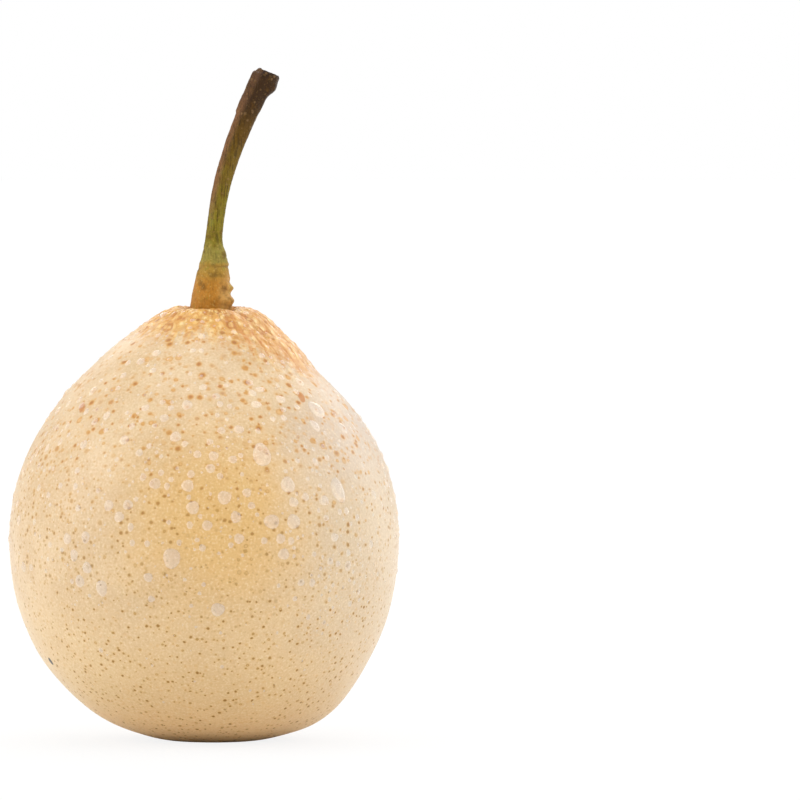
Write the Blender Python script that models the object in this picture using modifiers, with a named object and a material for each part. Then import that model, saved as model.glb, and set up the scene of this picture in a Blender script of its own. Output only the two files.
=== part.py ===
"""A white pear as picked: the fruit, its woody stem and the dried remnant of its blossom.

Metres, +Z up. The origin is on the ground under the middle of the fruit's widest ring. The
fruit stands on a narrow flat ring around its blossom basin, and the stem leans towards +X.
"""

import math

import bpy

# The fruit
FRUIT_WIDTH = 0.0752
FRUIT_HEIGHT = 0.0834
WIDEST_HEIGHT = 0.0378
BASE_SHIFT = 0.0019  # how far the foot sits towards +X
BASE_SHIFT_HEIGHT = 0.018
CROWN_SHIFT = 0.0013  # how far the crown and the stem sit towards +X
CROWN_SHIFT_DEPTH = 0.0100

# The dimple in the crown, where the stem goes in
STEM_DIMPLE_DEPTH = 0.0020
CROWN_RIM_WIDTH = 0.0020

# The basin underneath, with the eye of the blossom in its roof
REST_INNER_RADIUS = 0.0062
REST_RING_WIDTH = 0.0030
BASIN_DEPTH = 0.0056
EYE_RADIUS = 0.0024
EYE_DEPTH = 0.0024

# The stem
STEM_HEIGHT = 0.0472  # from the bottom of the dimple
STEM_BASE_RADIUS = 0.0042
STEM_WAIST_RADIUS = 0.00156
STEM_TIP_RADIUS = 0.0028
STEM_TAPER_HEIGHT = 0.0163  # over which the fleshy base narrows to the waist
STEM_FOOT_DEPTH = 0.0040  # how far the stem reaches down into the flesh
STEM_FOOT_TAPER = 0.0004
STEM_LEAN = 0.0106
STEM_LEAN_POWER = 2.6
STEM_SWAY = 0.0016  # the tip's lean towards +Y

# The dried blossom
REMNANT_PROUD = 0.0009  # how far it stands out of the eye
REMNANT_TAPER = 0.0005

CLEARANCE = 0.0003  # between neighbouring solids

SEGMENTS = 60  # round the fruit
STEPS = 3  # rings between two stations of the outline
STEM_POINTS = 30
STEM_BEVEL_RESOLUTION = 4
REMNANT_SEGMENTS = 20
MERGE_DISTANCE = 0.00001
BEVEL_UNIT = 0.001  # a curve point's radius is a multiple of this

socket_radius = STEM_BASE_RADIUS + CLEARANCE
crown_radius = socket_radius + CROWN_RIM_WIDTH
dimple_height = FRUIT_HEIGHT - STEM_DIMPLE_DEPTH
rest_outer_radius = REST_INNER_RADIUS + REST_RING_WIDTH

# The outline from the crown's rim down to the widest ring, and from there to the flat ring.
# Each station is a share of the height and a share of the width between the two.
SHOULDER = (
    (0.993, 0.064),
    (0.967, 0.141),
    (0.903, 0.260),
    (0.774, 0.445),
    (0.604, 0.680),
    (0.414, 0.866),
    (0.221, 0.965),
)
BELLY = (
    (0.700, 0.950),
    (0.434, 0.807),
    (0.210, 0.583),
    (0.088, 0.370),
    (0.021, 0.130),
)

# From the stem's socket up to the crown's rim, and from the flat ring up to the eye: each point
# is a share of the width and a share of the height between the two.
CROWN_LIP = ((0.22, 0.50), (0.55, 0.86))
BASIN_WALL = ((0.20, 0.16), (0.48, 0.62), (0.74, 0.93))
HOLLOW_STEPS = 2  # rings between two points of a hollow's wall

# Where the skin swells or sinks: azimuth and its spread in degrees, height and its spread as
# shares of the fruit's height, and how far the skin stands out.
SWELLINGS = (
    (180, 40, 0.83, 0.050, 0.00045),  # full shoulder
    (0, 32, 0.85, 0.045, -0.00045),  # hollow under the hump
    (-12, 26, 0.965, 0.026, 0.00030),  # hump beside the stem
    (-52, 9, 0.975, 0.026, -0.00075),  # crease in front of the hump
    (115, 34, 0.950, 0.035, 0.00040),
    (-120, 30, 0.955, 0.030, -0.00030),
    (75, 45, 0.45, 0.160, 0.00050),
    (-70, 50, 0.60, 0.150, 0.00030),
    (-150, 42, 0.25, 0.110, -0.00040),
)
RIB_COUNT = 5  # the faint lobes round the basin
RIB_DEPTH = 0.00035
RIB_HEIGHT = 0.30  # share of the fruit's height over which they fade
REST_FADE_WIDTH = 0.009  # of skin beside the flat ring, over which the swelling fades out


def clear_scene():
    for item in list(bpy.data.objects):
        bpy.data.objects.remove(item)


def collection_named(name):
    made = bpy.data.collections.new(name)
    bpy.context.scene.collection.children.link(made)
    return made


def material(name, colour, roughness):
    made = bpy.data.materials.new(name)
    made.use_nodes = True
    shader = made.node_tree.nodes["Principled BSDF"]
    shader.inputs["Base Color"].default_value = (*colour, 1.0)
    shader.inputs["Roughness"].default_value = roughness
    shader.inputs["Metallic"].default_value = 0.0
    return made


def ease(share):
    """0 to 1 with level ends."""
    share = min(max(share, 0.0), 1.0)
    return share * share * (3 - 2 * share)


def between(start, end, share):
    return start + (end - start) * share


def smooth_line(points, steps):
    """A Catmull-Rom curve through (radius, height) points, with so many steps in each span."""
    first = [between(points[1][k], points[0][k], 2) for k in range(2)]
    last = [between(points[-2][k], points[-1][k], 2) for k in range(2)]
    guides = [first, *points, last]
    line = []
    for a, b, c, d in zip(guides, guides[1:], guides[2:], guides[3:]):
        for step in range(steps):
            t = step / steps
            line.append(
                tuple(
                    0.5
                    * (
                        2 * b[k]
                        + (c[k] - a[k]) * t
                        + (2 * a[k] - 5 * b[k] + 4 * c[k] - d[k]) * t**2
                        + (3 * b[k] - a[k] - 3 * c[k] + d[k]) * t**3
                    )
                    for k in range(2)
                )
            )
    return [*line, tuple(points[-1])]


def flank():
    """(radius, height) from the crown's rim down to the outer edge of the flat ring."""
    widest = FRUIT_WIDTH / 2
    stations = [(crown_radius, FRUIT_HEIGHT)]
    for height_share, width_share in SHOULDER:
        stations.append(
            (
                between(crown_radius, widest, width_share),
                between(WIDEST_HEIGHT, FRUIT_HEIGHT, height_share),
            )
        )
    stations.append((widest, WIDEST_HEIGHT))
    for height_share, width_share in BELLY:
        stations.append(
            (between(rest_outer_radius, widest, width_share), WIDEST_HEIGHT * height_share)
        )
    stations.append((rest_outer_radius, 0.0))
    return smooth_line(stations, STEPS)


def dimple():
    """(radius, height) from the middle of the stem's socket up and over the crown's rim."""
    socket_floor = dimple_height - STEM_FOOT_DEPTH - CLEARANCE
    stations = [
        (
            between(socket_radius, crown_radius, width_share),
            between(dimple_height, FRUIT_HEIGHT, height_share),
        )
        for width_share, height_share in ((0, 0), *CROWN_LIP, (1, 1))
    ]
    wall = smooth_line(stations, HOLLOW_STEPS)
    return [(0.0, socket_floor), (socket_radius, socket_floor), *wall]


def basin():
    """(radius, height) from the inner edge of the flat ring up to the middle of the eye."""
    stations = [
        (between(REST_INNER_RADIUS, EYE_RADIUS, width_share), BASIN_DEPTH * height_share)
        for width_share, height_share in ((0, 0), *BASIN_WALL, (1, 1))
    ]
    wall = smooth_line(stations, HOLLOW_STEPS)
    eye_roof = BASIN_DEPTH + EYE_DEPTH
    return [*wall, (EYE_RADIUS, eye_roof), (0.0, eye_roof)]


def is_inside_a_hollow(radius, height):
    """Whether a point is in the stem's dimple or in the basin, which keep their turned shape."""
    edge = crown_radius if height > WIDEST_HEIGHT else rest_outer_radius
    return radius <= edge + MERGE_DISTANCE


def shift_at(radius, height):
    """How far towards +X the ring of that radius and height sits."""
    if is_inside_a_hollow(radius, height):
        return CROWN_SHIFT if height > WIDEST_HEIGHT else BASE_SHIFT
    foot = BASE_SHIFT * (1 - ease(height / BASE_SHIFT_HEIGHT))
    crown = CROWN_SHIFT * ease(1 - (FRUIT_HEIGHT - height) / CROWN_SHIFT_DEPTH)
    return foot + crown


def standing_out(azimuth, height):
    """How far the flank stands out at that azimuth, in degrees, and height."""
    out = 0.0
    for middle, spread, height_share, height_spread, amount in SWELLINGS:
        turn = (azimuth - middle + 180) % 360 - 180
        rise = height / FRUIT_HEIGHT - height_share
        out += amount * math.exp(-((turn / spread) ** 2) - (rise / height_spread) ** 2)
    fade = 1 - ease(height / FRUIT_HEIGHT / RIB_HEIGHT)
    return out + RIB_DEPTH * fade * math.cos(RIB_COUNT * math.radians(azimuth))


def grow_unevenly(mesh):
    """Takes the turned fruit off its perfect round: its foot and crown aside, its flank uneven."""
    for vertex in mesh.vertices:
        x, y, height = vertex.co
        radius = math.hypot(x, y)
        shift = shift_at(radius, height)
        if not is_inside_a_hollow(radius, height):
            # The swelling fades out at both rims, so that the hollows and the flat ring stay true.
            near_rest = ease((radius - rest_outer_radius) / REST_FADE_WIDTH)
            near_crown = ease((radius - crown_radius) / CROWN_RIM_WIDTH)
            fade = near_crown if height > WIDEST_HEIGHT else near_rest
            stretch = 1 + fade * standing_out(math.degrees(math.atan2(y, x)), height) / radius
            x, y = x * stretch, y * stretch
        vertex.co = (x + shift, y, height)


def fruit(group):
    """The whole pear but its stem: turned from its outline, then made uneven."""
    outline = [*dimple()[:-1], *flank(), *basin()]
    mesh = bpy.data.meshes.new("fruit")
    mesh.from_pydata(
        [(radius, 0, height) for radius, height in outline],
        [(i, i + 1) for i in range(len(outline) - 1)],
        [],
    )
    made = bpy.data.objects.new("fruit", mesh)
    group.objects.link(made)
    turn = made.modifiers.new("Turn", "SCREW")
    turn.steps = turn.render_steps = SEGMENTS
    turn.use_merge_vertices = True
    turn.merge_threshold = MERGE_DISTANCE
    turn.use_smooth_shade = True
    bpy.context.view_layer.objects.active = made
    bpy.ops.object.modifier_apply(modifier=turn.name)
    grow_unevenly(mesh)
    mesh.set_sharp_from_angle(angle=math.radians(50))
    mesh.materials.append(material("pear_skin", (0.80, 0.56, 0.27), 0.45))
    return made


def stem_radius(height):
    """The stem's radius at a height above the bottom of the dimple."""
    if height < 0:
        return STEM_BASE_RADIUS + STEM_FOOT_TAPER * height / STEM_FOOT_DEPTH
    base = (STEM_BASE_RADIUS - STEM_WAIST_RADIUS) * (1 - ease(height / STEM_TAPER_HEIGHT))
    tip = (STEM_TIP_RADIUS - STEM_WAIST_RADIUS) * (height / STEM_HEIGHT) ** 4
    return STEM_WAIST_RADIUS + base + tip


def stem_place(height):
    """The middle of the stem at a height above the bottom of the dimple."""
    share = max(height, 0.0) / STEM_HEIGHT
    return (
        CROWN_SHIFT + STEM_LEAN * share**STEM_LEAN_POWER,
        STEM_SWAY * share**2,
        dimple_height + height,
    )


def stem(group):
    """The woody stem: a tapered rod bent to one side, with its foot down in the socket."""
    curve = bpy.data.curves.new("stem", "CURVE")
    curve.dimensions = "3D"
    curve.bevel_depth = BEVEL_UNIT
    curve.bevel_resolution = STEM_BEVEL_RESOLUTION
    curve.use_fill_caps = True
    spline = curve.splines.new("POLY")
    spline.points.add(STEM_POINTS - 1)
    for i, point in enumerate(spline.points):
        height = between(-STEM_FOOT_DEPTH, STEM_HEIGHT, i / (STEM_POINTS - 1))
        point.co = (*stem_place(height), 1.0)
        point.radius = stem_radius(height) / BEVEL_UNIT
    spline.use_smooth = True
    made = bpy.data.objects.new("stem", curve)
    group.objects.link(made)
    curve.materials.append(material("stem_wood", (0.20, 0.13, 0.04), 0.60))
    return made


def blossom_remnant(group):
    """The dried end of the blossom, a small corky plug in the eye of the basin."""
    radius = EYE_RADIUS - CLEARANCE
    depth = EYE_DEPTH - CLEARANCE + REMNANT_PROUD
    bpy.ops.mesh.primitive_cone_add(
        vertices=REMNANT_SEGMENTS,
        radius1=radius - REMNANT_TAPER,
        radius2=radius,
        depth=depth,
        location=(BASE_SHIFT, 0, BASIN_DEPTH - REMNANT_PROUD + depth / 2),
    )
    made = bpy.context.active_object
    made.name = made.data.name = "blossom_remnant"
    for holder in list(made.users_collection):
        holder.objects.unlink(made)
    group.objects.link(made)
    made.data.shade_smooth()
    made.data.set_sharp_from_angle(angle=math.radians(40))
    made.data.materials.append(material("dry_blossom", (0.05, 0.03, 0.015), 0.9))
    return made


def main():
    clear_scene()
    pear = collection_named("pear")
    fruit(pear)
    stem(pear)
    blossom_remnant(pear)


main()
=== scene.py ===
"""The looks of a fresh white pear, wet with drops of water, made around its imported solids.

The skin, the stem and the dried blossom take their shapes from the solids, and finer detail is
added to them here. The water is only here. Lengths are in metres, but the finishes and the
details of the skin and the stem are measured in millimetres.
"""

import itertools
import math

import bpy
import numpy as np
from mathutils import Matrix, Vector
from mathutils.bvhtree import BVHTree


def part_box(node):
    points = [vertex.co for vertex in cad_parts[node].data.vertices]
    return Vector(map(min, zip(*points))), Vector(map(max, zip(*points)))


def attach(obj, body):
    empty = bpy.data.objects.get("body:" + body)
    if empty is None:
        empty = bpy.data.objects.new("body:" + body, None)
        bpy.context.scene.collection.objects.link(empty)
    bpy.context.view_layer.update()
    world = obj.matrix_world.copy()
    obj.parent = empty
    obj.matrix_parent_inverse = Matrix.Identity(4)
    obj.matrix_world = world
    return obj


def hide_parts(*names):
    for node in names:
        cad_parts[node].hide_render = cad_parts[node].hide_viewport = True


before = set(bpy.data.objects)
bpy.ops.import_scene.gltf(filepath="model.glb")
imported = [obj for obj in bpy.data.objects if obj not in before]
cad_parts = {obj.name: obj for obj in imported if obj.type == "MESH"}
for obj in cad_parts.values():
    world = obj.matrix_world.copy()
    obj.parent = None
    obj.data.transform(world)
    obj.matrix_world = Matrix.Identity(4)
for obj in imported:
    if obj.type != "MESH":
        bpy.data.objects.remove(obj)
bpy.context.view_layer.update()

MM = 0.001

# The camera
LENS = 600.0
SENSOR_WIDTH = 36.0
VIEW_WIDTH = 0.1540  # how much the camera takes in at the pear
CAMERA_HEIGHT_ANGLE = 3.0  # in degrees above level
AIM_ASIDE = 0.0378  # so that the pear stands left of the middle
AIM_HEIGHT = 0.0654

HEART_SHARE = 0.46  # of the fruit's height, where the rays that feel its skin start

# The grid of the skin, with its angles in degrees down from the top
SKIN_COLUMNS = 384
CAST_COLUMNS = 120
POLAR_STEP = 0.25
FINE_POLAR = 32.0  # the crown, down to this angle, takes a ring at every step
COARSE_STEPS = 5
KEPT_WAVES = 28
CROWN_POLAR = 12.0
BASE_POLAR = 162.0
CROWN_SOFTNESS = 0.5
FLANK_SOFTNESS = 1.4
FELT_BESIDE = 0.6 * MM  # where the crown and the basin are felt, beside the stem and the blossom
SOCKET_MARGIN = 0.5 * MM
EYE_MARGIN = 0.4 * MM

# The grid of the stem
STEM_RINGS = 300
STEM_COLUMNS = 72
END_RINGS = 14
FELT_HEIGHTS = 36
FELT_SPOKES = 24
LINE_DEGREE = 6
STEM_SOFTNESS = 1.2 * MM
WORN_DOWN = 0.55 * MM  # how much lower the left side of the broken end is

# Drops listed, in millimetres as the camera sees them: how far right, how high, how wide
# and how tall
CHOSEN_DROPS = (
    (11.2, 55.0, 3.5, 5.0), (16.2, 49.2, 2.7, 3.2), (25.8, 48.2, 2.4, 5.2),
    (21.7, 63.6, 2.9, 4.2), (21.4, 60.5, 1.7, 2.8), (-2.1, 44.8, 2.5, 2.6),
    (4.0, 46.7, 2.7, 2.7), (-3.1, 49.0, 2.4, 2.4), (-5.4, 58.4, 2.2, 2.3),
    (-9.4, 49.4, 2.3, 2.2), (-6.2, 35.1, 3.3, 4.0), (2.7, 25.1, 2.7, 2.7),
    (13.1, 42.1, 3.0, 2.8), (17.3, 42.1, 2.5, 2.9), (17.3, 45.8, 1.9, 1.9),
    (19.6, 46.8, 1.4, 1.6), (23.2, 46.1, 1.9, 2.0), (25.2, 39.0, 1.5, 1.7),
    (15.4, 35.8, 2.2, 2.2), (6.8, 38.8, 2.0, 2.0), (8.3, 47.6, 1.8, 1.8),
    (9.2, 45.1, 1.5, 1.5), (1.9, 54.7, 2.0, 2.0), (5.6, 54.0, 1.8, 1.7),
    (-1.2, 55.0, 1.6, 1.7), (1.3, 52.3, 1.9, 1.9), (6.8, 59.8, 2.0, 1.9),
    (3.4, 59.6, 1.6, 1.6), (1.2, 57.4, 1.4, 1.4), (2.4, 66.2, 1.6, 1.5),
    (-0.1, 67.9, 1.6, 1.6), (10.1, 64.6, 2.1, 1.7), (10.9, 67.5, 1.9, 1.4),
    (14.8, 65.6, 1.9, 1.9), (15.3, 63.6, 1.2, 1.3), (11.2, 74.0, 1.3, 1.2),
    (26.8, 60.0, 1.6, 2.6), (-14.6, 45.3, 2.0, 2.0), (-18.3, 45.2, 1.8, 2.2),
    (-16.3, 43.0, 1.9, 2.1), (-14.1, 41.0, 1.2, 1.8), (-22.8, 39.1, 1.6, 2.4),
    (-26.3, 38.8, 1.5, 2.2), (-25.0, 35.6, 1.5, 2.4), (-22.5, 33.2, 1.8, 2.3),
    (-23.9, 30.6, 1.7, 2.5), (-19.7, 29.3, 2.2, 3.2), (-10.7, 31.3, 1.8, 1.8),
    (-10.1, 27.1, 1.4, 1.4), (-10.9, 37.8, 1.2, 1.3), (-7.6, 62.0, 1.8, 1.8),
    (-12.4, 55.3, 1.5, 1.6),
)
LEANING_DROPS = {2: 0.25, 3: 0.55, 4: 0.30, 36: 0.40}  # number in the list: turn, in radians

# How a drop is made: how full it is, its rings and columns, and whether its rings hug the skin
LARGE_MAKE = (0.35, 9, 28, True)
SMALL_MAKE = (0.29, 4, 12, False)
FINE_MAKE = (0.27, 2, 8, False)

SUNK = 0.04 * MM  # how deep a drop's edge dips under the skin
BRIGHT_SIDE = math.radians(205)  # where a drop's painted glow is brightest, in its turn from its right side
# where a drop gets painted shade, in its turn from its right side
DARK_SIDE = math.radians(40)

# Scattered drops: how many, and the least, the usual and the greatest width in millimetres
SMALL_DROPS = (850, (0.7, 0.95, 2.1))
FINE_DROPS = (1700, (0.25, 0.42, 0.7))
WIDTH_SPREAD = 0.38
WET_PATCH = (26.5, -26.0, 32.0)  # in millimetres: where the right flank was splashed
WET_PATCH_WIDTH = 8.0
SCATTER_SEED = 11

# Marks on the skin, in millimetres. The scabs' places are on a skin squeezed by that much.
RIPEST_PLACE = (3.0, -37.0, 44.0)
FLECK_PLACE = (-29.4, -10.9, 15.8)
SCAB_SQUEEZE = (1.6, 1.0, 0.7)
SCABS = (((30.0, -18.4, 46.8), 0.9), ((-37.2, -16.0, 45.4), 0.8))

# The stem from its foot up: colours, and how high over the crown each one starts and is full
FOOT_COLOUR = "b87d2c"
BARK_BANDS = (
    ("a88436", 4, 7.5), ("92843c", 8, 9), ("7e701c", 10.5, 13), ("705a18", 17, 26),
    ("5e430c", 26, 33), ("3a2510", 32, 40), ("271913", 43.5, 45.5),
)

WATER_IOR = 1.33
DEWY_FROST = 0.22  # the roughness of the small drops

FLOOR_RADIUS = 3.0
DROWNED_SHARE = 0.86  # how much of the floor the camera sees as plain light
SURROUND_STRENGTH = 0.80

# Lamps: place, size and power
LAMPS = {
    "right_window": ((0.55, -0.22, 0.38), (0.45, 0.45), 0.82),
    "left_window": ((-0.60, -0.10, 0.30), (0.45, 0.45), 1.25),
    "back_light": ((0.05, 0.55, 0.45), (0.70, 0.40), 1.3),
    "right_edge_light": ((0.55, 0.35, 0.25), (0.40, 0.50), 0.70),
    "top_light": ((0.00, -0.05, 0.65), (0.50, 0.50), 0.8),
}

# ---------------------------------------------------------------- numbers and places


def mix(start, end, share):
    return start + (end - start) * share


def ease(share):
    """Goes from 0 to 1 with level ends, for a number or an array."""
    share = np.clip(share, 0.0, 1.0)
    return share * share * (3 - 2 * share)


LATTICE_SEED = 5
LATTICE = np.random.default_rng(LATTICE_SEED).uniform(-1.0, 1.0, 65521)
LATTICE_STEPS = np.array((1, 257, 528))
OCTAVE_SHIFT = 31.7  # keeps the finer lumps out of step with the coarser ones


def lumps(points, size, octaves=2):
    """Smooth noise of about -1 to 1 at each point, in lumps of that size with finer ones on top."""
    total, share = 0.0, 1.0
    for octave in range(octaves):
        at = points / size * 2**octave + OCTAVE_SHIFT * octave
        cell = np.floor(at).astype(np.int64)
        blend = ease(at - cell)
        for corner in itertools.product((0, 1), repeat=3):
            weight = np.prod(np.where(corner, blend, 1 - blend), axis=-1)
            total = total + share * weight * LATTICE[(cell + corner) @ LATTICE_STEPS % len(LATTICE)]
        share *= 0.5
    return total


def hill(distance, width):
    """1 at no distance, and falling smoothly to 0."""
    return np.exp(-((distance / width) ** 2))


def middle_of(node):
    low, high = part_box(node)
    return (Vector(low) + Vector(high)) / 2


def facets(mesh):
    """A mesh's corners and faces, ready to be felt with rays."""
    corners = [corner.co.copy() for corner in mesh.vertices]
    return BVHTree.FromPolygons(corners, [tuple(face.vertices) for face in mesh.polygons])


def foot_of_stem():
    """The middle of the stem's foot, and the foot's radius."""
    corners = np.array([corner.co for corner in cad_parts["stem"].data.vertices])
    foot = corners[corners[:, 2] < corners[:, 2].min() + 0.1 * MM]
    middle = foot.mean(axis=0)
    return Vector(middle), float(np.linalg.norm(foot[:, :2] - middle[:2], axis=1).max())


def width_of(node):
    low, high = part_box(node)
    return high[0] - low[0]


def camera_place():
    distance = VIEW_WIDTH * LENS / SENSOR_WIDTH
    lift = math.radians(CAMERA_HEIGHT_ANGLE)
    return Vector((0.0, -distance * math.cos(lift), AIM_HEIGHT + distance * math.sin(lift)))


stem_foot, stem_foot_radius = foot_of_stem()
blossom = middle_of("blossom_remnant")
blossom_radius = width_of("blossom_remnant") / 2
fruit_low, fruit_high = (Vector(corner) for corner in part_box("fruit"))
heart_height = mix(fruit_low.z, fruit_high.z, HEART_SHARE)


# ---------------------------------------------------------------- meshes


def wrapped(rings, start, end):
    """Corners, faces and a flat map for rings of points that close to a point at both ends."""
    rings = np.asarray(rings)
    count, columns = rings.shape[:2]
    faces, places = [], []
    last = 1 + count * columns
    for i in range(columns):
        j = (i + 1) % columns
        left, middle, right = i / columns, (i + 0.5) / columns, (i + 1) / columns
        faces.append((0, 1 + i, 1 + j))
        places += (middle, 0.0, left, 1 / (count + 1), right, 1 / (count + 1))
        for k in range(count - 1):
            a, b = 1 + k * columns, 1 + (k + 1) * columns
            above, below = (k + 1) / (count + 1), (k + 2) / (count + 1)
            faces.append((a + i, b + i, b + j, a + j))
            places += (left, above, left, below, right, below, right, above)
        a = last - columns
        faces.append((last, a + j, a + i))
        places += (middle, 1.0, right, count / (count + 1), left, count / (count + 1))
    corners = np.vstack([[start], rings.reshape(-1, 3), [end]])
    return corners, faces, places


def joined(bodies):
    """One set of corners, faces and map places from many, and the numbers at their corners."""
    corners, faces, places, numbers = [], [], [], []
    count = 0
    for (body_corners, body_faces, body_places), body_numbers in bodies:
        numbers.append(body_numbers)
        corners.append(body_corners)
        faces.extend(tuple(count + i for i in face) for face in body_faces)
        places.extend(body_places)
        count += len(body_corners)
    return (np.vstack(corners), faces, places), np.concatenate(numbers)


def piece(name, body, finish, marks, stands_for=None):
    """A smooth object of those corners, faces and map places, as part of the pear.

    The marks are a name, and a number at each corner for the finish to use.
    """
    corners, faces, places = body
    mesh = bpy.data.meshes.new(name)
    mesh.from_pydata(corners.tolist(), [], faces)
    mesh.uv_layers.new(name="map").data.foreach_set("uv", places)
    mark, values = marks
    mesh.attributes.new(mark, "FLOAT", "POINT").data.foreach_set("value", values)
    mesh.materials.append(finish)
    mesh.shade_smooth()
    made = bpy.data.objects.new(name, mesh)
    bpy.context.scene.collection.objects.link(made)
    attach(made, "root")
    if stands_for:
        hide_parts(stands_for)
    return made


# ---------------------------------------------------------------- finishes


class Value:
    """What comes out of a node, so that sums can be written with it."""

    def __init__(self, finish, node, socket):
        self.finish, self.node, self.socket = finish, node, socket

    def out(self, name):
        return Value(self.finish, self.node, self.node.outputs[name])

    def maths(self, operation, *inputs):
        return self.finish.add("ShaderNodeMath", {"operation": operation}, dict(enumerate(inputs)))

    def __add__(self, other):
        return self.maths("ADD", self, other)

    def __radd__(self, other):
        return self.maths("ADD", other, self)

    def __sub__(self, other):
        return self.maths("SUBTRACT", self, other)

    def __rsub__(self, other):
        return self.maths("SUBTRACT", other, self)

    def __mul__(self, other):
        return self.maths("MULTIPLY", self, other)

    def __rmul__(self, other):
        return self.maths("MULTIPLY", other, self)

    def __truediv__(self, other):
        return self.maths("DIVIDE", self, other)

    def __pow__(self, other):
        return self.maths("POWER", self, other)

    def most(self, other):
        return self.maths("MAXIMUM", self, other)

    def rise(self, low, high, bottom=0.0, top=1.0):
        """Goes smoothly from bottom to top as this goes from low to high."""
        if low > high:
            low, high, bottom, top = high, low, top, bottom
        settings = {"interpolation_type": "SMOOTHSTEP"}
        inputs = {"Value": self, "From Min": low, "From Max": high, "To Min": bottom, "To Max": top}
        return self.finish.add("ShaderNodeMapRange", settings, inputs)


class Finish:
    """A material and its nodes."""

    def __init__(self, name):
        self.material = bpy.data.materials.new(name)
        self.material.use_nodes = True
        self.tree = self.material.node_tree
        self.shader = self.tree.nodes["Principled BSDF"]
        self.surface = self.tree.nodes["Material Output"].inputs["Surface"]

    def join(self, value, socket):
        """Gives the socket a value, a number, a vector, a linear colour or a web colour."""
        if isinstance(value, str):
            value = hue(value)
        if isinstance(value, Value):
            self.tree.links.new(value.socket, socket)
        elif isinstance(value, tuple) and len(value) == 3 and len(socket.default_value) == 4:
            socket.default_value = (*value, 1.0)
        else:
            socket.default_value = value

    def add(self, kind, settings=None, inputs=None):
        """A node of that kind, with its settings made first, and then its sockets."""
        node = self.tree.nodes.new(kind)
        for name, setting in (settings or {}).items():
            setattr(node, name, setting)
        for name, value in (inputs or {}).items():
            self.join(value, node.inputs[name])
        return Value(self, node, next(socket for socket in node.outputs if socket.enabled))

    def colours(self, first, second, share):
        """The first colour, going over to the second by the share."""
        node = self.tree.nodes.new("ShaderNodeMix")
        node.data_type = "RGBA"
        node.clamp_factor = True
        ends = {socket.identifier: socket for socket in node.inputs}
        self.join(share, ends["Factor_Float"])
        self.join(first, ends["A_Color"])
        self.join(second, ends["B_Color"])
        made = next(socket for socket in node.outputs if socket.identifier == "Result_Color")
        return Value(self, node, made)

    def vectors(self, operation, first, second):
        which = "Scale" if operation == "SCALE" else 1
        return self.add("ShaderNodeVectorMath", {"operation": operation}, {0: first, which: second})

    def millimetres(self):
        """Where on the piece, in millimetres."""
        return self.vectors("SCALE", self.add("ShaderNodeTexCoord").out("Object"), 1 / MM)

    def parts(self, vector):
        split = self.add("ShaderNodeSeparateXYZ", None, {0: vector})
        return split.out("X"), split.out("Y"), split.out("Z")

    def mottle(self, where, size, detail=2.0, roughness=0.5):
        """Noise from about 0 to 1, with patches of that many millimetres."""
        inputs = {"Vector": where, "Scale": 1 / size, "Detail": detail, "Roughness": roughness}
        return self.add("ShaderNodeTexNoise", {"noise_dimensions": "3D"}, inputs)

    def cells(self, where, size):
        """Scattered points that far apart: the distance to the nearest, and its random colour."""
        inputs = {"Vector": where, "Scale": 1 / size}
        return self.add("ShaderNodeTexVoronoi", {"voronoi_dimensions": "3D"}, inputs)

    def mark(self, name):
        """The number that the piece's corners carry by that name."""
        return self.add("ShaderNodeAttribute", {"attribute_name": name}).out("Fac")

    def distance(self, where, place):
        """How far the surface is from that place, in millimetres."""
        return self.vectors("DISTANCE", where, place).out("Value")

    def bump(self, height, strength):
        """A rough surface, for a height in millimetres."""
        inputs = {"Height": height, "Strength": strength, "Distance": MM}
        return self.add("ShaderNodeBump", None, inputs)

    def set(self, **sockets):
        """Sets the shader's sockets; a name's underscores are its spaces."""
        for name, value in sockets.items():
            self.join(value, self.shader.inputs[name.replace("_", " ")])
        return self.material


def hue(code):
    """The linear colour of a six-figure web colour."""
    shares = [int(code[i : i + 2], 16) / 255 for i in (0, 2, 4)]
    return tuple(s / 12.92 if s <= 0.04045 else ((s + 0.055) / 1.055) ** 2.4 for s in shares)


def ground_colour(finish, where, x, z):
    """Cream, honey where it is ripest, tan towards the base, lightened just above the base as painted
    light, and paler and greyer on the right side as a painted sheen.
    """
    clouds = finish.mottle(where, 9.0, 4.0)
    ground = finish.colours("ddc199", "d6b88e", clouds.rise(0.38, 0.62))
    drift = (clouds - 0.5) * 14.0
    sunned = (finish.distance(where, RIPEST_PLACE) + drift).rise(28.0, 4.0)
    ground = finish.colours(ground, "deb36c", sunned * 0.85)
    tan = finish.colours("dcba84", "e1c390", x.rise(-6, -22))
    ground = finish.colours(ground, tan, (z + drift).rise(36, 10) * 0.7)
    # Painted light: lighter just above the base, standing in for light from the floor
    ground = finish.colours(ground, "f2cb94", (z + drift * 0.3).rise(11, 1) * 0.7)
    # Painted sheen: paler and greyer on the right side, standing in for the right lamps' reflection
    sheen_tint = finish.colours("d3bd9e", "ccbaa8", z.rise(44, 62))
    return finish.colours(ground, sheen_tint, (x + drift).rise(9, 32) * z.rise(0, 40, 0.3, 1.0))


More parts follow.
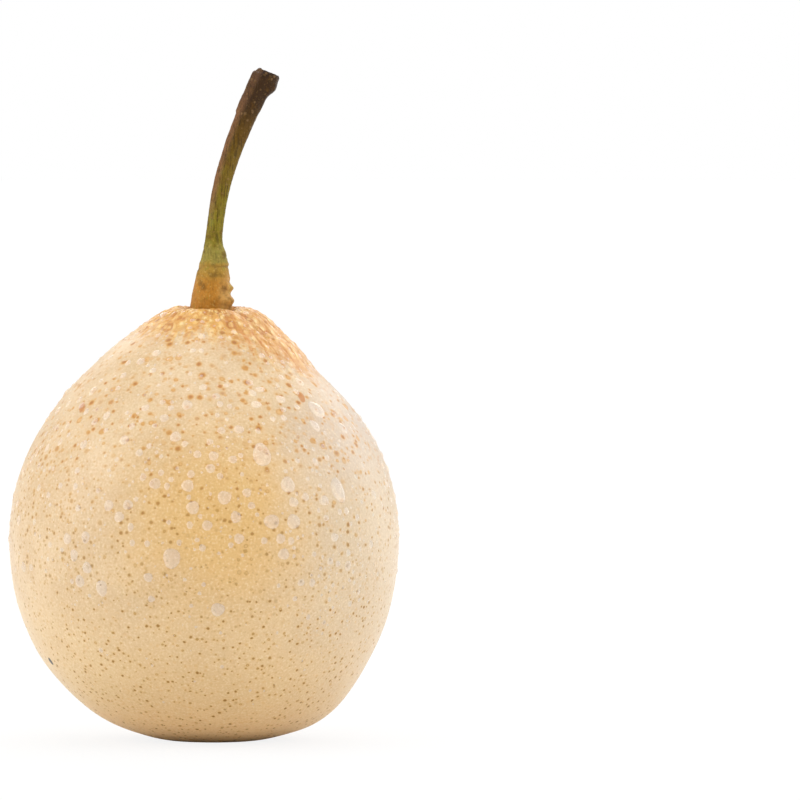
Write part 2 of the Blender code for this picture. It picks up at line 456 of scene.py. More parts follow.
def russet_cap(finish, where, z, wobble, freckles, ground):
    """Russet round the stem, over the ground colour.

    Gives the colour, how much russet there is, and how high its pebbles and blisters stand.
    """
    # How far from the middle of the crown, and which way
    crown = (stem_foot.x / MM, stem_foot.y / MM, 0.0)
    from_crown = finish.vectors("SUBTRACT", where, crown)
    flat = finish.vectors("MULTIPLY", from_crown, (1, 1, 0))
    away = finish.add("ShaderNodeVectorMath", {"operation": "LENGTH"}, {0: flat}).out("Value")
    bearing = finish.add("ShaderNodeVectorMath", {"operation": "NORMALIZE"}, {0: flat})
    towards_hump = finish.parts(bearing)[0]
    on_crown = z.rise(58, 68)

    # Streaks run down from the stem like meridians, broken up into freckles
    spread = finish.vectors("MULTIPLY", bearing, (9, 9, 9))
    spread = finish.vectors("ADD", spread, finish.vectors("SCALE", where, 0.05))
    streaks = finish.mottle(spread, 1.0, 3.0)
    reach = 15.0 + towards_hump.rise(0.1, 0.95) * 6.5 + (streaks - 0.5) * 12.0
    cap = (reach - away + (freckles - 0.5) * 10.0).rise(-2.0, 4.0) * on_crown
    russet = finish.colours("ecbd66", "d08d30", freckles.rise(0.42, 0.72))
    russet = finish.colours(russet, "e4b68e", towards_hump.rise(0.2, 0.9) * 0.45)
    coloured = finish.colours(ground, russet, cap * 0.95)

    # Pale pebbles with brown gaps between them
    outwards = finish.add("ShaderNodeCombineXYZ", None, {"Z": away * 0.8})
    drawn = finish.vectors("ADD", finish.vectors("SCALE", bearing, 11.0), outwards)
    drawn = finish.vectors("ADD", drawn, wobble)
    pebble = 1 - finish.cells(drawn, 1.2).out("Distance") * 1.2 / 0.78
    pebbly = (17.0 + towards_hump.rise(0.1, 0.95) * 6.0 - away).rise(-3.0, 7.0) * on_crown
    coloured = finish.colours(coloured, "c8842e", pebble.rise(0.30, 0.02) * pebbly * 0.55)
    coloured = finish.colours(coloured, "ffe2a8", pebble.rise(0.45, 0.75) * pebbly * 0.65)

    # Thin brown lines on the hump
    thin = finish.vectors("SCALE", bearing, 21.0)
    thin = finish.vectors("ADD", thin, finish.vectors("SCALE", where, 0.12))
    lines = finish.mottle(thin, 1.0, 2.0).rise(0.53, 0.63) * cap * towards_hump.rise(-0.6, 0.5)
    coloured = finish.colours(coloured, "c4762e", lines * 0.5)

    # Blisters with a dark rim, nearer the stem
    blisters = finish.cells(drawn, 2.2)
    blister = 1 - blisters.out("Distance") * 2.2 / 0.85
    some = finish.parts(blisters.out("Color"))[0].rise(0.3, 0.5)
    blistered = (away - 17).rise(0, -5) * on_crown * some
    rim = blister.rise(-0.15, 0.05) * blister.rise(0.42, 0.18)
    coloured = finish.colours(coloured, "b96e20", rim * blistered * 0.75)
    coloured = finish.colours(coloured, "f4cf88", blister.rise(0.30, 0.60) * blistered * 0.55)
    lifts = pebble.rise(0.0, 0.9) * pebbly * 0.32, blister.rise(0.0, 0.6) * blistered * 0.20
    return coloured, cap, lifts


def corky_dots(finish, where, x, z, wobble, freckles, coloured):
    """Dots over that colour, few and large round the crown, many and small lower down.

    Gives the colour and how high the dots stand.
    """
    loose = finish.vectors("MULTIPLY", finish.vectors("ADD", where, wobble), (0.92, 0.92, 1.0))
    corky = finish.colours("cb9038", "ae8439", z.rise(66, 34))
    heart = finish.colours("a45e16", "8c601a", z.rise(66, 34))
    height = (freckles - 0.5) * 0.02
    sides = x.rise(-12, -27) * z.rise(66, 50) * 0.6
    layers = (
        # spacing, radius, how much of it there is, strength
        (1.95, 0.66, z.rise(46, 62), 0.80),
        (1.28, 0.42, z.rise(20, 42) * z.rise(82, 62, 0.4, 1.0), 0.66),
        (0.98, 0.30, z.rise(46, 22).most(sides), 0.90),
    )
    for spacing, radius, grown, strength in layers:
        dots = finish.cells(loose, spacing)
        chance, other, third = finish.parts(dots.out("Color"))
        size = radius * (0.50 + chance * 0.70)
        nearness = 1 - dots.out("Distance") * spacing / size
        amount = grown * other.rise(0.05, 0.65) * strength
        core = nearness.rise(0.28, 0.58) * amount
        coloured = finish.colours(coloured, "d6a04c", nearness.rise(-0.8, 0.1) * amount * 0.30)
        coloured = finish.colours(coloured, corky, nearness.rise(0.0, 0.25) * amount)
        coloured = finish.colours(coloured, heart, core * third.rise(0.25, 0.45) * 0.85)
        coloured = finish.colours(coloured, "e8bf86", core * third.rise(0.30, 0.15) * 0.7)
        height = height + nearness.rise(0.0, 0.6) * radius * 0.07 * grown
    return coloured, height


def skin_marks(finish, where, z, freckles, coloured):
    """A black fleck low on the left, scabs on the shoulders, and mottled brown painted shade under
    the base.
    """
    frayed = (freckles - 0.5) * 0.9
    fleck = finish.distance(where, FLECK_PLACE) + frayed * 0.6
    coloured = finish.colours(coloured, "21160c", fleck.rise(0.95, 0.65))
    squeezed = finish.vectors("MULTIPLY", where, SCAB_SQUEEZE)
    for place, size in SCABS:
        scab = finish.distance(squeezed, place) + frayed
        coloured = finish.colours(coloured, "c07a30", scab.rise(size + 0.4, size) * 0.85)
    # Painted shade under the base, mottled brown
    underside_shade = z.rise(2.4, 0.4) * finish.mottle(where, 4.0, 3.0).rise(0.30, 0.6)
    return finish.colours(coloured, "9a7648", underside_shade * 0.25)


def pear_skin():
    """Cream skin, honey where it is ripest, with corky dots and a russet cap round the stem."""
    finish = Finish("pear_skin")
    where = finish.millimetres()
    x, _, z = finish.parts(where)
    grain = finish.mottle(where, 0.42, 2.0)
    freckles = finish.mottle(where, 0.9, 3.0, 0.6)
    pores = finish.mottle(where, 2.6, 2.0)
    # Places are pushed about a little, so that round marks come out uneven.
    wobble = finish.vectors("SCALE", finish.mottle(where, 0.8).out("Color"), 0.35)

    coloured = ground_colour(finish, where, x, z)
    coloured = finish.colours(coloured, "f1dcb8", grain.rise(0.50, 0.74) * 0.42)
    coloured = finish.colours(coloured, "b98f52", grain.rise(0.48, 0.28) * 0.26)
    coloured, cap, lifts = russet_cap(finish, where, z, wobble, freckles, coloured)
    # Painted shade in the creases
    coloured = finish.colours(coloured, "b87428", finish.mark("painted_shade") * 0.6)
    coloured, height = corky_dots(finish, where, x, z, wobble, freckles, coloured)
    coloured = skin_marks(finish, where, z, freckles, coloured)

    relief = height + grain * 0.022 + pores * 0.05 + cap * (freckles * 0.20)
    for lift in lifts:
        relief = relief + lift
    return finish.set(
        Base_Color=coloured,
        Roughness=0.42 + cap * 0.12 + (pores - 0.5) * 0.12,
        Normal=finish.bump(relief, 0.9),
        Subsurface_Weight=0.10,
        Subsurface_Radius=(0.9, 0.5, 0.25),
        Subsurface_Scale=MM,
        Coat_Weight=0.18,
        Coat_Roughness=0.22,
    )


def stem_bark():
    """Fleshy ochre at the foot, then green, then brown bark, darkest at the cut end, with painted
    shade in its grooves and on its sunken end.
    """
    finish = Finish("stem_bark")
    where = finish.millimetres()
    x, _, z = finish.parts(where)
    foot = fruit_high.z / MM
    blotches = finish.mottle(where, 1.8, 4.0, 0.6)
    fine = finish.mottle(where, 0.45, 3.0, 0.6)
    grain = finish.mottle(finish.vectors("MULTIPLY", where, (1, 1, 0.12)), 0.36, 3.0, 0.6)
    level = z + (blotches - 0.5) * 4.0

    bark = FOOT_COLOUR
    for colour, low, high in BARK_BANDS:
        bark = finish.colours(bark, colour, level.rise(foot + low, foot + high))
    # How far to the right of the stem's own curve
    bend = ((z - foot + 1.5) / 47.2).most(0.0) ** 2.6 * 10.9
    lean = x - (stem_foot.x / MM + bend)
    ruddy = lean.rise(0.1, -1.2) * z.rise(foot + 12, foot + 24)
    ruddy = ruddy * z.rise(foot + 43, foot + 35, 0.35, 1.0)
    bark = finish.colours(bark, "82593a", ruddy * 0.85)
    fleshy = lean.rise(0.8, 2.6) * level.rise(foot + 7, foot + 3)
    bark = finish.colours(bark, "ca9e5a", fleshy * 0.6)
    streaky = z.rise(foot + 6, foot + 16, 0.25, 1.0)
    bark = finish.colours(bark, "352409", grain.rise(0.48, 0.66) * streaky * 0.65)
    bark = finish.colours(bark, "5e3f10", blotches.rise(0.52, 0.68) * 0.55)
    green = blotches.rise(0.45, 0.30) * z.rise(foot + 34, foot + 8)
    bark = finish.colours(bark, "8a8a30", green * 0.5)
    # Pale speckles low on the stem, partly its own speckles and partly painted highlights
    speckles_and_highlights = fine.rise(0.54, 0.72) * z.rise(foot + 26, foot, 0.10, 0.62)
    bark = finish.colours(bark, "cfa95c", speckles_and_highlights)
    # Painted shade in the grooves of the rings and veins, along the edges of the knobs, and on the
    # sunken end face
    bark = finish.colours(bark, "3b2510", finish.mark("painted_shade") * 0.85)

    pips = finish.cells(where, 1.3)
    pale = (1 - pips.out("Distance") * 1.3 / 0.40).rise(0.0, 0.6) * z.rise(foot + 14, foot + 26)
    bark = finish.colours(bark, "8f6e48", pale * 0.4)

    relief = grain * 0.16 + fine * 0.08 + pale * 0.10
    return finish.set(
        Base_Color=bark,
        Roughness=0.46 + (blotches - 0.5) * 0.25,
        Normal=finish.bump(relief, 1.0),
        Specular_IOR_Level=0.12,
    )


def dry_blossom():
    """Dark brown cork, greyer where it is driest."""
    finish = Finish("dry_blossom")
    where = finish.millimetres()
    fibres = finish.mottle(where, 0.35, 4.0, 0.65)
    patches = finish.mottle(where, 1.4, 2.0)
    cork = finish.colours("3a281a", "7a5c3e", fibres.rise(0.40, 0.70))
    cork = finish.colours(cork, "8d7f6c", patches.rise(0.55, 0.75) * 0.5)
    return finish.set(
        Base_Color=cork,
        Roughness=0.80 + (patches - 0.5) * 0.2,
        Normal=finish.bump(fibres * 0.15, 1.0),
    )


def clear_water(name, frost):
    """Clear water, a little milky, with a painted glow, faint inside and brightest in a crescent at
    one edge; the other edge is tinted darker as painted shade.
    """
    finish = Finish(name)
    where = finish.millimetres()
    stirred = finish.mottle(where, 1.5, 1.0)
    edge = finish.mark("edge")
    # Painted glow: faint inside a drop and bright in the crescent on its one side
    glow = finish.colours((0.0, 0.0, 0.0), (0.22, 0.24, 0.28), edge.rise(0.0, 0.4))
    glow = finish.colours(glow, (0.58, 0.56, 0.50), edge.rise(0.45, 1.0))
    return finish.set(
        # Painted shade: the drop's other side is tinted darker
        Base_Color=finish.colours((1.0, 1.0, 1.0), "cda873", edge.rise(0.0, -1.0)),
        Roughness=frost + stirred * 0.03,
        IOR=WATER_IOR,
        Transmission_Weight=0.86,
        Emission_Color=glow,
        Emission_Strength=0.20,
        Normal=finish.bump(stirred * 0.02, 0.2),
    )


def pale_floor():
    """A plain white floor that the studio's light nearly drowns; it is kept bright further out."""
    finish = Finish("pale_floor")
    where = finish.millimetres()
    dust = finish.mottle(where, 40.0, 3.0)
    lit = finish.distance(where, (0.0, 0.0, 0.0)).rise(150, 600)
    finish.set(
        Base_Color=finish.colours((0.93, 0.93, 0.93), (0.90, 0.90, 0.90), dust),
        Roughness=0.7 + dust * 0.1,
        Emission_Color=finish.colours((0.0, 0.0, 0.0), (1.0, 1.0, 1.0), lit),
        Emission_Strength=0.35,
    )
    painted = Value(finish, finish.shader, finish.shader.outputs["BSDF"])
    drowned = finish.add("ShaderNodeEmission", None, {"Color": (1.0, 1.0, 1.0), "Strength": 1.0})
    share = finish.add("ShaderNodeLightPath").out("Is Camera Ray") * DROWNED_SHARE
    both = finish.add("ShaderNodeMixShader", None, {"Fac": share, 1: painted, 2: drowned})
    finish.join(both, finish.surface)
    return finish.material


# ---------------------------------------------------------------- the fruit's skin


def ray_start(polar):
    """Where inside the fruit a ray starts, so that rings lie level round the crown and the base."""
    up = max(math.cos(polar), 0.0) ** 6
    down = max(-math.cos(polar), 0.0) ** 6
    return Vector((stem_foot.x * up + blossom.x * down, 0.0, heart_height))


def way_out(polar, azimuth):
    """The direction at those angles, for a number or an array of azimuths."""
    flat = np.stack([np.cos(azimuth), np.sin(azimuth), 0 * azimuth], axis=-1)
    return math.sin(polar) * flat + np.array((0.0, 0.0, math.cos(polar)))


def felt_reach(polars):
    """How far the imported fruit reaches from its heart, in rows by polar angle and columns round."""
    fruit = facets(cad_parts["fruit"].data)
    beside_stem = Vector((stem_foot.x - stem_foot_radius - FELT_BESIDE, stem_foot.y, 1.0))
    dimple = fruit.ray_cast(beside_stem, Vector((0, 0, -1)))[0].z
    beside_blossom = Vector((blossom.x - blossom_radius - FELT_BESIDE, blossom.y, -1.0))
    roof = fruit.ray_cast(beside_blossom, Vector((0, 0, 1)))[0].z
    azimuths = math.tau * np.arange(CAST_COLUMNS) / CAST_COLUMNS
    rows = []
    for polar in polars:
        start = ray_start(polar)
        ways = way_out(polar, azimuths)
        row = np.array([fruit.ray_cast(start, Vector(way))[3] for way in ways])
        # The socket and the eye are closed off, because the stem and the blossom fill them.
        aside = row * math.sin(polar)
        if polar < math.pi / 2:
            closed = aside < stem_foot_radius + SOCKET_MARGIN
            row[closed] = (dimple - start.z) / math.cos(polar)
        else:
            closed = aside < blossom_radius + EYE_MARGIN
            row[closed] = (roof - start.z) / math.cos(polar)
        rows.append(row)
    return np.array(rows)


def smoothed_round(rows):
    """The rows without the solid's facets, drawn again with the skin's columns."""
    waves = np.fft.rfft(rows, axis=1)[:, :KEPT_WAVES]
    waves *= 1 - ease((np.arange(KEPT_WAVES) / KEPT_WAVES - 0.7) / 0.3)
    full = np.zeros((len(rows), SKIN_COLUMNS // 2 + 1), complex)
    full[:, :KEPT_WAVES] = waves
    return np.fft.irfft(full, n=SKIN_COLUMNS, axis=1) * SKIN_COLUMNS / rows.shape[1]


def smoothed_down(rows, polars):
    """Each row mixed with its neighbours, less so near the crown, where the shape is finer."""
    degrees = np.degrees(polars)
    softness = mix(CROWN_SOFTNESS, FLANK_SOFTNESS, ease(degrees / CROWN_POLAR - 0.6))
    softness = mix(softness, CROWN_SOFTNESS, ease((degrees - BASE_POLAR) / 6))
    weights = np.exp(-0.5 * ((degrees[None, :] - degrees[:, None]) / softness[:, None]) ** 2)
    weights /= weights.sum(axis=1, keepdims=True)
    return weights @ rows


def skin_detail(spots):
    """How far the skin stands out of its smooth shape at each spot, and how much painted shade its
    creases get.
    """
    aside = spots[:, :2] - np.array(stem_foot)[:2] / MM
    away = np.hypot(aside[:, 0], aside[:, 1])
    azimuth = np.arctan2(aside[:, 1], aside[:, 0])
    upper = ease((spots[:, 2] - 55) / 8)
    out = 0.16 * lumps(spots, 17.0) + 0.03 * lumps(spots, 4.5)
    # Russet wrinkles, drawn out along the slope, and small pebbles between them
    edge = 11.5 + 8.5 * ease((np.cos(azimuth + 0.2) - 0.1) / 0.8)
    cap = ease((edge + 4 - away) / 8) * upper
    drawn = np.stack([9 * np.cos(azimuth), 9 * np.sin(azimuth), 0.12 * away], axis=-1)
    wrinkles = np.maximum(0.0, 1 - 6 * np.abs(lumps(drawn, 1.0, 1)))
    wrinkles = wrinkles * ease(0.7 + 1.6 * lumps(spots, 3.0, 1)) * ease((away - 5.5) / 3)
    out = out + cap * (0.17 * lumps(spots, 1.5) + 0.09 * lumps(spots, 0.7, 1) - 0.18 * wrinkles)
    # The fold in front of the hump
    fold_azimuth = np.radians(-49 + 1.1 * (away - 6))
    across = (azimuth - fold_azimuth) * away
    depth = ease((away - 3.5) / 2.0) * ease((15 - away) / 6.0) * upper
    out = out - 0.60 * depth * hill(across, 0.55 + 0.10 * away)
    # The shoulders of the crown are a little slacker than a turned shape
    out = out - 0.32 * upper * hill(away - 10.5, 4.0) * (0.75 - 0.25 * np.cos(azimuth))
    # The right shoulder is slacker above and fuller below, and the left one is slacker
    right, left = ease(2 * np.cos(azimuth)), ease(-2 * np.cos(azimuth))
    out = out + right * upper * (0.35 * hill(away - 17.8, 2.0) - 0.42 * hill(away - 13.5, 2.0))
    out = out - left * upper * 0.25 * hill(away - 15.0, 3.0)
    # The skin draws up a little against the stem
    out = out + 0.35 * upper * hill(away - stem_foot_radius / MM, 1.1)
    # Painted shade in the creases: the russet wrinkles, the fold in front of the hump, and a ring
    # where the skin meets the stem
    crease_shade = cap * wrinkles * 0.75 + ease((12 - away) / 4) * depth * hill(across, 0.40)
    crease_shade = crease_shade + 0.5 * upper * hill(away - stem_foot_radius / MM - 0.3, 0.35)
    return out, np.clip(crease_shade, 0, 1)


def fruit_skin():
    polars = np.radians(np.arange(POLAR_STEP, 180, POLAR_STEP))
    reach = smoothed_down(smoothed_round(felt_reach(polars)), polars)
    fine = np.degrees(polars) <= FINE_POLAR
    kept = fine | (np.arange(len(polars)) % COARSE_STEPS == 0)
    azimuths = math.tau * np.arange(SKIN_COLUMNS) / SKIN_COLUMNS
    rings, painted_shades = [], [[0.0]]
    for polar, row in zip(polars[kept], reach[kept]):
        ways = way_out(polar, azimuths)
        ring = np.array(ray_start(polar)) + ways * row[:, None]
        proud, painted_shade = skin_detail(ring / MM)
        ring = ring + ways * (proud * MM * ease(ring[:, 2] / (3 * MM)))[:, None]
        ring[:, 2] = np.maximum(ring[:, 2], 0.0)
        rings.append(ring)
        painted_shades.append(painted_shade)
    top, bottom = rings[0].mean(axis=0), rings[-1].mean(axis=0)
    painted_shades = np.concatenate([*painted_shades, [0.0]])
    body, marks = wrapped(rings, top, bottom), ("painted_shade", painted_shades)
    return piece("pear_skin", body, pear_skin(), marks, "fruit")


# ---------------------------------------------------------------- the stem


def stem_line():
    """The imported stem's middle line, from its foot to its end, and its radius along that line."""
    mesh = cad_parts["stem"].data
    bark = facets(mesh)
    low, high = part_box("stem")
    faces = [face for face in mesh.polygons if face.center.z > high[2] - 4 * MM]
    cap = [face for face in faces if face.normal.z > 0.5]
    end = np.mean([np.array(mesh.vertices[i].co) for face in cap for i in face.vertices], axis=0)
    middles = [np.array(stem_foot) + (0, 0, 0.2 * MM)]
    turns = math.tau * np.arange(FELT_SPOKES) / FELT_SPOKES
    spokes = way_out(math.pi / 2, turns)
    for height in np.linspace(low[2] + 1 * MM, high[2] - 4.5 * MM, FELT_HEIGHTS):
        guess = np.array((*middles[-1][:2], height))
        for _ in range(3):
            hits = [bark.ray_cast(Vector(guess), Vector(spoke))[0] for spoke in spokes]
            guess = np.mean([np.array(hit) for hit in hits if hit], axis=0)
        middles.append(guess)
    middles = np.array([*middles, end])
    heights = np.linspace(middles[0, 2], end[2], STEM_RINGS)
    bends = []
    for k in (0, 1):
        curve = np.polyfit(middles[:, 2] - low[2], middles[:, k], LINE_DEGREE)
        bends.append(np.polyval(curve, heights - low[2]))
    line = np.stack([*bends, heights], axis=-1)
    ways = np.gradient(line, axis=0)
    ways /= np.linalg.norm(ways, axis=1, keepdims=True)
    radii = []
    for point, way in zip(line, ways):
        side, front = square_to(way)
        spokes = [math.cos(turn) * side + math.sin(turn) * front for turn in turns]
        felt = [bark.ray_cast(Vector(point), Vector(spoke))[3] for spoke in spokes]
        radii.append(np.mean([reach for reach in felt if reach]))
    rough = np.array(radii)
    weights = hill(heights[None, :] - heights[:, None], STEM_SOFTNESS)
    return line, ways, weights @ rough / weights.sum(axis=1)


def square_to(way):
    """Two directions square to the given one, the first near +X and the second near +Y."""
    front = np.cross(way, (1.0, 0.0, 0.0))
    front /= np.linalg.norm(front)
    return np.cross(front, way), front


# Knobs on the fleshy foot: azimuth in degrees, height above the crown, width, and how proud
STEM_KNOBS = (
    (-8, 3.7, 0.75, 0.85), (-24, 1.3, 0.85, 0.95), (-62, 1.6, 0.85, 0.50), (20, 5.6, 0.80, 0.40),
    (60, 2.6, 0.90, 0.35), (125, 4.4, 0.90, 0.30), (200, 6.4, 0.70, 0.16), (-120, 4.6, 0.80, 0.14),
    (-40, 4.6, 0.80, 0.40), (95, 7.0, 0.80, 0.22),
)


def stem_detail(turn, height, spots):
    """How far the bark stands out, and how much painted shade its grooves get.

    It goes by the turn round the stem and the height over the crown in millimetres.
    """

    def facing(degrees, spread):
        away = np.abs((np.degrees(turn) - degrees + 180) % 360 - 180)
        return hill(away, spread)

    out = 0.06 * lumps(spots * (1, 1, 0.25), 1.1) + 0.03 * lumps(spots, 0.5)
    # Ridges that run up the stem
    ridges = np.cos(5 * turn + 0.06 * height + 0.9 * np.sin(height / 9))
    out = out + 0.07 * ridges * ease((height - 6) / 8)
    # The fleshy foot swells to the right and ends in a shoulder
    out = out + 0.75 * facing(0, 60) * hill(height - 8.0, 3.1)
    out = out + 0.25 * facing(0, 50) * hill(height - 10.5, 1.2)
    knobs = 0
    for azimuth, middle, width, proud in STEM_KNOBS:
        knobs = knobs + proud * hill(height - middle, width) * facing(azimuth, 20)
    # Two rings where bracts fell off, grooved, with painted shade in the grooves
    waver = 0.4 * np.cos(turn + 0.7) + 0.6 * lumps(spots, 1.5, 1)
    rings = hill(height - 7.6 - waver, 0.28) + 0.5 * hill(height - 10.3 + waver, 0.22)
    rings = rings * (0.35 + 0.65 * facing(-20, 60))
    out = out + knobs - 0.20 * rings
    out = out + 0.10 * hill(height - 8.3, 0.45) + 0.04 * lumps(spots, 2.0) * ease((12 - height) / 4)
    # A bud scar on the left, near the top
    scar = ease((height - 36.4) / 0.5) * ease((41.0 - height) / 3.0)
    out = out + 0.26 * scar * facing(178, 34)
    # The flared end with its lip on the right; on the left it is rounded off
    rise = ease((height - 41.0) / 3.5)
    out = out + 0.35 * facing(-5, 70) * rise + 0.55 * facing(-5, 42) * hill(height - 43.0, 1.2)
    out = out - (0.15 * rise + 0.55 * ease((height - 43.9) / 1.0)) * facing(180, 80)
    out = out + 0.12 * lumps(spots, 1.6) * ease((height - 41.0) / 3.0)
    out = out - 0.10 * ease((height - 30) / 8)
    # Veins on the foot, and the edges of its knobs, which get painted shade with the rings
    veins = np.maximum(0.0, 1 - 7 * np.abs(lumps(spots * (1, 1, 0.5), 1.1, 2)))
    veins = veins * ease((9 - height) / 3)
    edges = hill(np.abs(knobs - 0.16), 0.10) * ease((8 - height) / 2)
    edges = edges * ease(0.5 + lumps(spots, 0.9, 1))
    return out - 0.05 * veins, np.clip(0.42 * rings + 0.25 * veins + 0.25 * edges, 0, 1)


def woody_stem():
    line, ways, radii = stem_line()
    # The real stem leans a little further to the right than the solid
    risen = (line[:, 2] - fruit_high.z) / MM
    line[:, 0] += (0.15 + 0.45 * ease((risen - 20) / 16) - 0.30 * ease((risen - 39) / 5)) * MM
    turns = math.tau * np.arange(STEM_COLUMNS) / STEM_COLUMNS
    rings, painted_shades = [], [[0.0]]
    for point, way, radius in zip(line, ways, radii):
        side, front = square_to(way)
        spokes = np.cos(turns)[:, None] * side + np.sin(turns)[:, None] * front
        height = (point[2] - fruit_high.z) / MM
        spots = (point + spokes * radius) / MM
        proud, painted_shade = stem_detail(turns, height, spots)
        reach = radius + proud * MM * ease((height + 3) / 2)
        rings.append(point + spokes * reach[:, None])
        painted_shades.append(painted_shade + 0 * turns)
    # The broken end: a rim worn down on the left, then a rough and sunken face with painted shade
    rim, end, way = rings[-1], line[-1], ways[-1]
    left = 0.5 - 0.5 * np.cos(turns)
    for ring, height in zip(rings, line[:, 2]):
        ring -= np.outer(left * ease((height - end[2]) / MM + 1.0), way) * WORN_DOWN
    for k in range(1, END_RINGS):
        share = k / END_RINGS
        ring = mix(rim, end, share)
        lift = 0.35 * math.sin(math.pi * min(share / 0.28, 1.0))
        lift = lift - 0.55 * ease((share - 0.12) / 0.3)
        rough = 0.22 * lumps(ring / MM, 0.9) * ease(share / 0.25)
        rings.append(ring + way * ((lift + rough) * MM)[:, None])
        painted_shades.append(0 * turns + 0.7 * ease((share - 0.05) / 0.2))
    body = wrapped(rings[::-1], end - way * 0.5 * MM, line[0])
    painted_shades = np.concatenate([[0.7], *painted_shades[:0:-1], [0.0]])
    return piece("woody_stem", body, stem_bark(), ("painted_shade", painted_shades), "stem")


# ---------------------------------------------------------------- the dried blossom


def withered_blossom():
    """A corky plug with a frayed ring of shrunken sepals round a sunken middle."""
    low, high = (np.array(corner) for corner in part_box("blossom_remnant"))
    radius, height = blossom_radius, high[2] - low[2]
    turns = math.tau * np.arange(60) / 60
    petals = 0.5 + 0.5 * np.cos(5 * turns)
    profile = (
        # share of the radius, height over the plug's lower end as a share of its height
        (0.10, 0.46), (0.22, 0.44), (0.34, 0.36), (0.44, 0.22), (0.54, 0.06), (0.64, 0.00),
        (0.76, 0.03), (0.88, 0.12), (0.96, 0.24), (0.98, 0.40), (0.97, 0.60), (0.93, 0.80),
        (0.86, 0.98),
    )
    rings = []
    for out, up in profile:
        rise = up * height
        fringe = hill(np.array(out - 0.62), 0.20)
        flat = out * radius
        spots = np.stack([flat * np.cos(turns), flat * np.sin(turns), rise + 0 * turns], axis=-1)
        worn = lumps(spots / MM, 0.5)
        reach = out * radius * (1 + 0.05 * worn * (out < 0.9)) + 0.12 * MM * fringe * petals
        level = rise + (0.30 * (1 - petals) + 0.22 * np.abs(worn)) * fringe * MM
        ring = np.stack([reach * np.cos(turns), reach * np.sin(turns), level], axis=-1)
        rings.append(ring + np.array((blossom.x, blossom.y, low[2])))
    start = np.array((blossom.x, blossom.y, low[2] + 0.48 * height))
    end = np.array((blossom.x, blossom.y, high[2]))
    body = wrapped(rings[::-1], end, start)
    marks = ("painted_shade", np.zeros(len(body[0])))
    return piece("withered_blossom", body, dry_blossom(), marks, "blossom_remnant")


# ---------------------------------------------------------------- the water


def drop(skin, centre, normal, width, height, lean, fullness, rings, columns, hugging):
    """A drop that clings to the skin, fuller on its lower side; it dips just under the skin."""
    out = np.array(normal)
    uphill = np.array((0.0, 0.0, 1.0)) - out[2] * out
    uphill /= max(np.linalg.norm(uphill), 1e-6)
    side = np.cross(uphill, out)
    turned = math.cos(lean) * uphill - math.sin(lean) * side
    side = math.cos(lean) * side + math.sin(lean) * uphill
    turns = math.tau * np.arange(columns) / columns
    steep = 1 - abs(out[2])
    egg = 1 - 0.10 * steep * np.sin(turns) + 0.05 * np.cos(3 * turns + width * 9 / MM)
    across = 0.5 * width * np.cos(turns) * egg
    along = 0.5 * height * np.sin(turns) * egg
    proud = 0.5 * math.sqrt(width * height) * fullness
    sunk = SUNK
    made = []
    for k in range(1, rings + 1):
        share = math.sin(math.pi / 2 * k / rings)
        dome = (1 - share**2) ** 0.75
        sag = 1 - 0.28 * steep * share * np.sin(turns)
        made.append((share, proud * dome * sag - sunk * share))
    made.append((0.80, -3 * sunk + 0 * turns))
    # The edge numbers paint light: 0.4 inside for a faint painted glow, up to 1 in a painted bright
    # crescent on one side, and below 0 for painted shade on the other side.
    points, edges = [], [[0.4]]
    for number, (share, lift) in enumerate(made):
        bright_side = ease(np.cos(turns - BRIGHT_SIDE) / 0.8)
        dark_side = ease((np.cos(turns - DARK_SIDE) - 0.2) / 0.6)
        painted_glow_crescent = ease((share - 0.45) / 0.35) * (0.35 + 0.65 * bright_side)
        dim = 0.2 * ease((share - 0.70) / 0.25) * dark_side
        inside = ease((1.0 - share) / 0.05)
        edges.append(((0.4 + 0.6 * painted_glow_crescent) * inside - dim) * (number < rings))
        flat = np.array(centre) + share * (across[:, None] * side + along[:, None] * turned)
        if hugging:
            flat = np.array([skin.find_nearest(Vector(point))[0] for point in flat])
        points.append(flat + lift[:, None] * out)
    top = np.array(centre) + proud * out
    body = wrapped(points, top, np.array(centre) - 3 * sunk * out)
    return body, np.concatenate([*edges, [0.0]])


def scattered(skin, taken, count, sizes, chance):
    """Where drops of those sizes are, thick on the crown and shoulders and in the wet patch."""
    heart = Vector((0.0, 0.0, heart_height))
    smallest, usual, largest = sizes
    found = []
    while len(found) < count:
        polar = math.acos(chance.uniform(-0.75, 0.985))
        azimuth = chance.uniform(0, math.tau)
        width = chance.lognormal(math.log(usual), WIDTH_SPREAD)
        size = float(np.clip(width, smallest, largest)) * MM
        luck, stretch = chance.uniform(), chance.uniform(0.9, 1.25)
        place, normal, _, _ = skin.ray_cast(heart, Vector(way_out(polar, azimuth)))
        height = place.z / MM
        patchy = 0.6 + 0.5 * float(lumps(np.array(place)[None, :] / MM, 9.0)[0])
        thick = patchy * float(0.05 + 0.95 * ease((height - 18) / 38))
        from_patch = (place - Vector(WET_PATCH) * MM).length / MM
        thick += 0.9 * float(hill(from_patch, WET_PATCH_WIDTH))
        if size > 1.1 * MM:
            thick *= float(ease((height - 22) / 20))
        from_stem = math.hypot(place.x - stem_foot.x, place.y - stem_foot.y)
        if luck > thick or from_stem < stem_foot_radius + size:
            continue
        others = np.array(taken)
        gaps = np.linalg.norm(others[:, :3] - place, axis=1) - 0.55 * (size + others[:, 3])
        if gaps.min() > 0.06 * MM:
            taken.append((*place, size))
            found.append((place, normal, size, size * stretch))
    return found


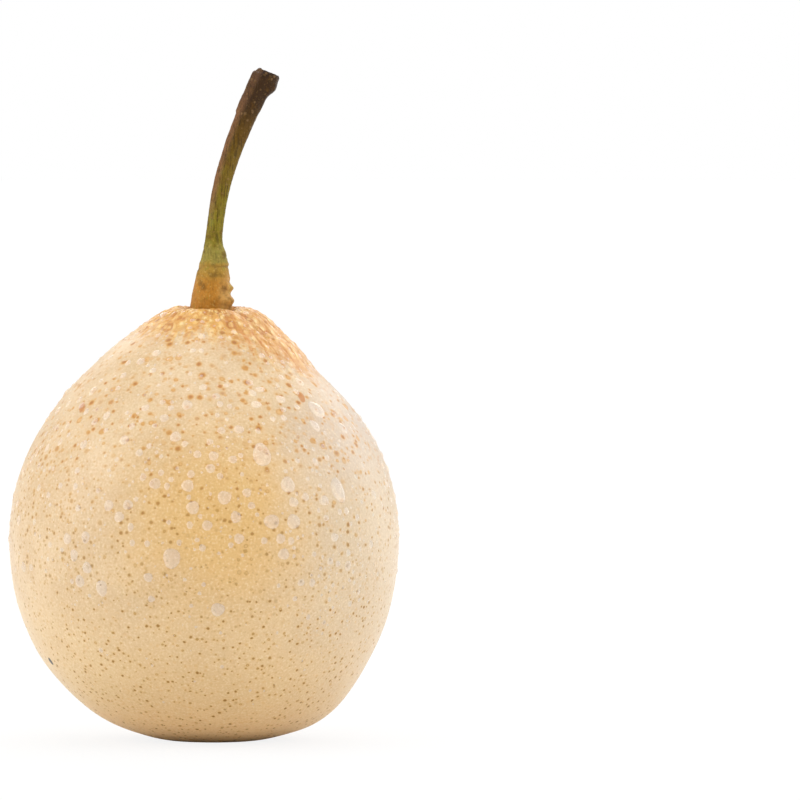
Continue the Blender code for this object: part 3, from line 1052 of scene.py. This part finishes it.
def water():
    """The drops that were chosen, and the many small ones."""
    skin = facets(bpy.data.objects["pear_skin"].data)
    eye = camera_place()
    chance = np.random.default_rng(SCATTER_SEED)
    taken, large = [], []
    for number, (right, high, wide, tall) in enumerate(CHOSEN_DROPS):
        seen = Vector((right * MM, 0.0, high * MM)) - eye
        place, normal, _, _ = skin.ray_cast(eye, seen.normalized())
        # Seen at a slant, a drop looks narrower than it is.
        slant = math.sqrt(max(1 - normal.x**2, 0.3))
        wide = wide / slant
        taken.append((*place, max(wide, tall) * MM))
        lean = LEANING_DROPS.get(number, 0.0)
        large.append(drop(skin, place, normal, wide * MM, tall * MM, lean, *LARGE_MAKE))
    small = [
        drop(skin, place, normal, wide, tall, 0.0, *SMALL_MAKE)
        for place, normal, wide, tall in scattered(skin, taken, *SMALL_DROPS, chance)
    ]
    fine = [
        drop(skin, place, normal, wide, tall, 0.0, *FINE_MAKE)
        for place, normal, wide, tall in scattered(skin, taken, *FINE_DROPS, chance)
    ]
    clear, dewy = clear_water("clear_water", 0.0), clear_water("dewy_water", DEWY_FROST)
    for name, bodies, finish in (
        ("large_drops", large, clear), ("small_drops", small, dewy), ("fine_drops", fine, dewy)
    ):
        body, edges = joined(bodies)
        # The edge numbers carry the drops' painted glow and painted shade
        made = piece(name, body, finish, ("edge", edges))
        # The skin under a drop is as brightly lit as the skin beside it.
        made.visible_shadow = False


# ---------------------------------------------------------------- stage


def floor():
    bpy.ops.mesh.primitive_circle_add(vertices=96, radius=FLOOR_RADIUS, fill_type="NGON")
    made = bpy.context.active_object
    made.name = "floor"
    made.data.materials.append(pale_floor())


def softbox(name, place, size, power):
    lamp = bpy.data.lights.new(name, "AREA")
    lamp.shape = "RECTANGLE"
    lamp.size, lamp.size_y = size
    lamp.energy = power
    made = bpy.data.objects.new(name, lamp)
    made.location = place
    aim = Vector((0.0, 0.0, heart_height)) - made.location
    made.rotation_euler = aim.to_track_quat("-Z", "Y").to_euler()
    bpy.context.scene.collection.objects.link(made)


def studio():
    """A white backdrop for the camera, a softer surround for the light, and the lamps."""
    world = bpy.data.worlds.new("white_studio")
    bpy.context.scene.world = world
    world.use_nodes = True
    nodes, links = world.node_tree.nodes, world.node_tree.links
    backdrop = nodes["Background"]
    backdrop.inputs["Color"].default_value = (1.0, 1.0, 1.0, 1.0)
    surround = nodes.new("ShaderNodeBackground")
    surround.inputs["Color"].default_value = (1.0, 0.99, 0.97, 1.0)
    surround.inputs["Strength"].default_value = SURROUND_STRENGTH
    seen = nodes.new("ShaderNodeLightPath")
    choice = nodes.new("ShaderNodeMixShader")
    links.new(seen.outputs["Is Camera Ray"], choice.inputs["Fac"])
    links.new(surround.outputs["Background"], choice.inputs[1])
    links.new(backdrop.outputs["Background"], choice.inputs[2])
    links.new(choice.outputs["Shader"], nodes["World Output"].inputs["Surface"])
    for name, (place, size, power) in LAMPS.items():
        softbox(name, place, size, power)


def camera():
    lens = bpy.data.cameras.new("camera")
    lens.lens = LENS
    lens.sensor_width = SENSOR_WIDTH
    lens.clip_start = 0.01
    made = bpy.data.objects.new("camera", lens)
    bpy.context.scene.collection.objects.link(made)
    made.location = camera_place()
    aim = Vector((AIM_ASIDE, 0.0, AIM_HEIGHT)) - made.location
    made.rotation_euler = aim.to_track_quat("-Z", "Y").to_euler()
    bpy.context.scene.camera = made


def main():
    bpy.context.scene.view_settings.view_transform = "Standard"
    fruit_skin()
    woody_stem()
    withered_blossom()
    water()
    floor()
    studio()
    camera()


main()
